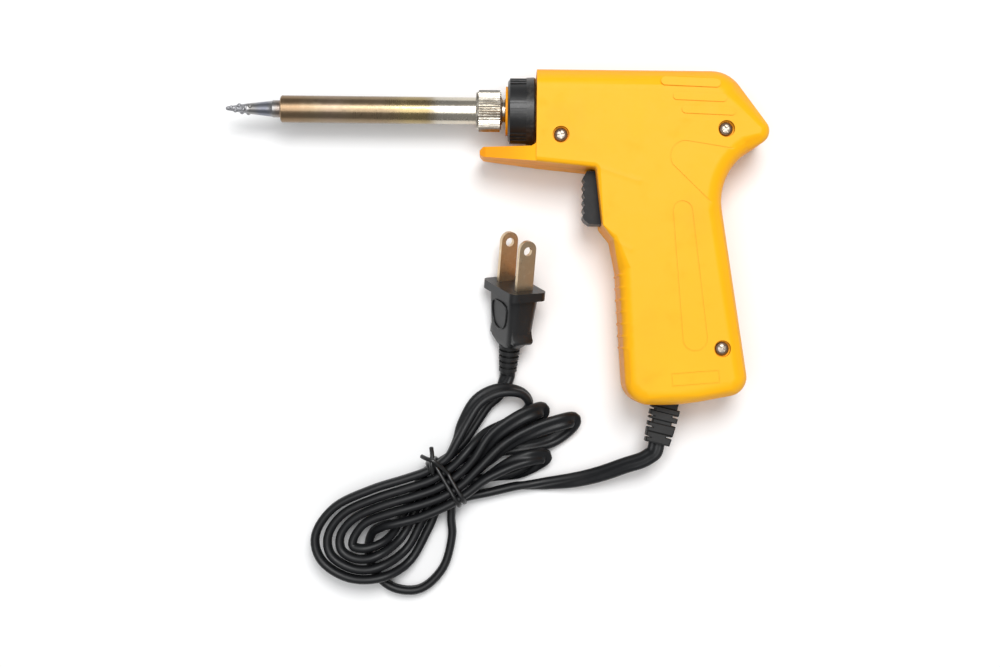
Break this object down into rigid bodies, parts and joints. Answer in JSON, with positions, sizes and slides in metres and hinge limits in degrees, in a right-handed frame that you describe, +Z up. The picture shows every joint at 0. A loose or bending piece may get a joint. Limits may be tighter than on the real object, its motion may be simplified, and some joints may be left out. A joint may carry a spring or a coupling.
{
  "type": "instant heat soldering iron",
  "caption": "Pistol-shaped mains soldering iron with a trigger, a knurled barrel nut, a flat cord coiled in a tied hank and a flat-blade plug.",
  "frame": {"origin": "under the middle of the iron without its free cord, at the height of the surface it lies on", "axes": "+X from the tip to the rear of the body, +Y from the foot of the grip to the roof, +Z up through the left shell, off the right shell that it lies on"},
  "size_m": [0.1856, 0.1821, 0.0305],
  "materials": {
    "yellow_shell": "satin moulded",
    "black_ring": "moulded, ribbed",
    "trigger_black": "moulded, ribbed",
    "screw_steel": "plated",
    "ferrule_nickel": "nickel plated, turned",
    "nut_nickel": "nickel plated, knurled",
    "barrel_steel": "heat tinted",
    "tip_copper": "iron plated, tinned at the end",
    "ceramic": "fired ceramic",
    "winding_metal": "resistance wire",
    "mica": "wound mica",
    "glass_sleeving": "glass braid",
    "spring_steel": "drawn wire",
    "switch_plastic": "moulded",
    "plunger_plastic": "moulded",
    "brass_tabs": "stamped",
    "diode_epoxy": "moulded epoxy",
    "crimp_plastic": "insulated crimp",
    "core_pvc": "extruded",
    "jumper_pvc": "extruded",
    "clamp_plastic": "moulded",
    "gland_rubber": "moulded",
    "cord_pvc": "extruded, satin",
    "tie_pvc": "coated wire",
    "plug_pvc": "moulded",
    "blade_brass": "nickel plated"
  },
  "bodies": {
    "casing": {"right_shell": "yellow_shell", "left_shell": "yellow_shell", "case_screws": "screw_steel", "ferrule": "ferrule_nickel", "heater_core": "ceramic", "heater_winding": "winding_metal", "mica_sleeve": "mica", "ceramic_bush": "ceramic", "heater_leads": "glass_sleeving", "trigger_spring": "spring_steel", "switch_body": "switch_plastic", "switch_terminals": "brass_tabs", "diode": "diode_epoxy", "crimp_connectors": "crimp_plastic", "mains_cores": "core_pvc", "jumper_wire": "jumper_pvc", "cord_inner": "cord_pvc", "cord_clamp": "clamp_plastic", "clamp_screws": "screw_steel", "cord_gland": "gland_rubber", "cord_lead": "cord_pvc", "cord_hank": "cord_pvc", "twist_tie": "tie_pvc", "cord_tail": "cord_pvc", "plug_relief": "plug_pvc", "plug_body": "plug_pvc", "plug_blades": "blade_brass"},
    "lock_ring": {"lock_ring": "black_ring"},
    "trigger": {"trigger": "trigger_black"},
    "plunger": {"switch_plunger": "plunger_plastic"},
    "barrel": {"barrel_tube": "barrel_steel", "tip": "tip_copper"},
    "nut": {"knurled_nut": "nut_nickel"}
  },
  "joints": [
    {"name": "trigger_slide", "type": "slide", "parent": "casing", "child": "trigger", "axis": [1, 0, 0], "range_m": [0, 0.004], "stiffness_N_per_m": 300, "springref_m": -0.002, "deforming": ["trigger_spring"]},
    {"name": "plunger_slide", "type": "slide", "parent": "casing", "child": "plunger", "axis": [1, 0, 0], "range_m": [0, 0.004]},
    {"name": "nut_turn", "type": "hinge", "parent": "barrel", "child": "nut", "pos_m": [-0.00189, 0.05075, 0.015], "axis": [-1, 0, 0], "range_deg": [0, 1800]},
    {"name": "barrel_slide", "type": "slide", "parent": "casing", "child": "barrel", "axis": [-1, 0, 0], "range_m": [0, 0.00501]},
    {"name": "ring_turn", "type": "hinge", "parent": "casing", "child": "lock_ring", "pos_m": [0.00911, 0.05075, 0.015], "axis": [-1, 0, 0], "range_deg": [0, 450]}
  ],
  "couplings": [
    {"joint": "plunger_slide", "follows": "trigger_slide", "ratio": 1},
    {"joint": "barrel_slide", "follows": "nut_turn", "m_per_rad": 0.00015915}
  ]
}
